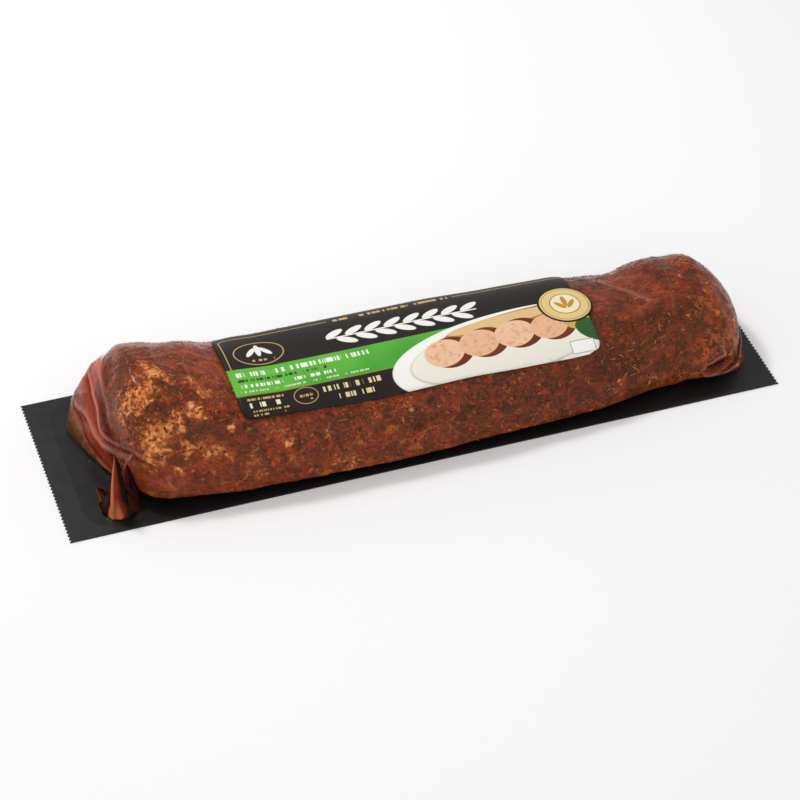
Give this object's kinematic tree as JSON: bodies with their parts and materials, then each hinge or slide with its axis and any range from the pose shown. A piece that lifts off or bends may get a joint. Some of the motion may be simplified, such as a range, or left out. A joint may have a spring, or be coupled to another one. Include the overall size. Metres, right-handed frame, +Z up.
{
  "type": "raw pork tenderloin in a clear film pack",
  "caption": "Raw, seasoned pork tenderloin sealed under clear film on a flat black backing web, with a stuck-on label; lies flat.",
  "frame": {"origin": "centre of the backing web's underside, on the surface that the pack lies on", "axes": "+X along the pack towards the tucked tail end, +Y towards its back long edge, +Z up through the label"},
  "size_m": [0.3, 0.085, 0.0457],
  "materials": {
    "web": "black film with a soft sheen, fine hatching in its heat seals",
    "seasoned_meat": "dark red-brown seasoned meat under tight clear film",
    "clear_film": "clear, glossy, creased film",
    "label": "printed, satin"
  },
  "bodies": {
    "root": {"backing_web": "web", "film_pack": "seasoned_meat", "label": "label"}
  },
  "joints": []
}
